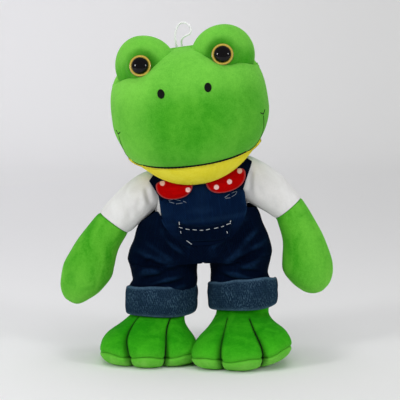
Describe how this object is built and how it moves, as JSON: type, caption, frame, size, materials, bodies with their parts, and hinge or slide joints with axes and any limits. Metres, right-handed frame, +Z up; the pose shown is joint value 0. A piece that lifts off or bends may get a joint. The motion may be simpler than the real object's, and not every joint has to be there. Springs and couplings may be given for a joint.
{
  "type": "plush frog",
  "caption": "Standing soft toy frog in denim overalls with turned-up cuffs, a white shirt and a dotted bow tie, with bendable head and limbs.",
  "frame": {"origin": "centre of the footprint of the whole toy, on the floor under the feet", "axes": "+Z up; the face looks along -Y; +X is to the right of someone who looks at the face"},
  "size_m": [0.2406, 0.1148, 0.2924],
  "materials": {
    "green_plush": "matte",
    "sole_plush": "matte",
    "yellow_plush": "matte",
    "white_plush": "matte",
    "head_fibre": "matte",
    "denim": "matte",
    "turned_denim": "matte",
    "red_cotton": "matte",
    "gold_plastic": "gloss",
    "black_plastic": "gloss",
    "washer_plastic": "satin",
    "black_thread": "matte",
    "white_cord": "matte"
  },
  "bodies": {
    "trunk": {"torso": "white_plush", "overalls_seat": "denim", "bib": "denim", "pocket": "denim", "left_strap": "denim", "right_strap": "denim", "bow_knot": "red_cotton", "bow_left_lobe": "red_cotton", "bow_right_lobe": "red_cotton"},
    "neck": {"neck_stuffing": "white_plush"},
    "head": {"head_stuffing": "head_fibre", "back_of_head": "green_plush", "face_panel": "green_plush", "chin_panel": "yellow_plush", "left_eye_mound": "green_plush", "right_eye_mound": "green_plush", "left_iris": "gold_plastic", "right_iris": "gold_plastic", "left_pupil": "black_plastic", "right_pupil": "black_plastic", "left_eye_washer": "washer_plastic", "right_eye_washer": "washer_plastic", "left_nostril": "black_thread", "right_nostril": "black_thread", "mouth_piping": "black_thread", "hang_loop": "white_cord"},
    "left_arm": {"left_sleeve": "white_plush"},
    "left_hand": {"left_mitt": "green_plush"},
    "left_leg": {"left_trouser_leg": "denim", "left_inner_leg": "green_plush", "left_turn_up": "turned_denim", "left_foot": "green_plush", "left_sole": "sole_plush"},
    "right_arm": {"right_sleeve": "white_plush"},
    "right_hand": {"right_mitt": "green_plush"},
    "right_leg": {"right_trouser_leg": "denim", "right_inner_leg": "green_plush", "right_turn_up": "turned_denim", "right_foot": "green_plush", "right_sole": "sole_plush"}
  },
  "joints": [
    {"name": "head_turn", "type": "hinge", "parent": "trunk", "child": "neck", "pos_m": [0.00168, 0.0134, 0.15275], "axis": [-0.1392, 0, 0.9903], "range_deg": [-25, 25], "stiffness_Nm_per_rad": 0.25},
    {"name": "head_tilt", "type": "hinge", "parent": "neck", "child": "head", "pos_m": [0.00168, 0.0134, 0.15275], "axis": [0, 1, 0], "range_deg": [-9, 9], "stiffness_Nm_per_rad": 1.2},
    {"name": "left_arm_raise", "type": "hinge", "parent": "trunk", "child": "left_arm", "pos_m": [-0.04665, 0.0134, 0.13737], "axis": [0, 1, 0], "range_deg": [-5, 60], "stiffness_Nm_per_rad": 0.05},
    {"name": "left_mitt_curl", "type": "hinge", "parent": "left_arm", "child": "left_hand", "pos_m": [-0.07345, 0.0092, 0.11644], "axis": [-0.9205, 0, 0.3907], "range_deg": [-15, 30], "stiffness_Nm_per_rad": 0.05},
    {"name": "left_leg_bend", "type": "hinge", "parent": "trunk", "child": "left_leg", "pos_m": [-0.02619, 0.0034, 0.08875], "axis": [-1, 0, 0], "range_deg": [-5, 70], "stiffness_Nm_per_rad": 1},
    {"name": "right_arm_raise", "type": "hinge", "parent": "trunk", "child": "right_arm", "pos_m": [0.05237, 0.0134, 0.15129], "axis": [0, -1, 0], "range_deg": [0, 60], "stiffness_Nm_per_rad": 0.05},
    {"name": "right_mitt_curl", "type": "hinge", "parent": "right_arm", "child": "right_hand", "pos_m": [0.08023, 0.0092, 0.13179], "axis": [-0.9613, 0, -0.2756], "range_deg": [-15, 30], "stiffness_Nm_per_rad": 0.05},
    {"name": "right_leg_bend", "type": "hinge", "parent": "trunk", "child": "right_leg", "pos_m": [0.03818, 0.0034, 0.0978], "axis": [-1, 0, 0], "range_deg": [-5, 70], "stiffness_Nm_per_rad": 1}
  ]
}
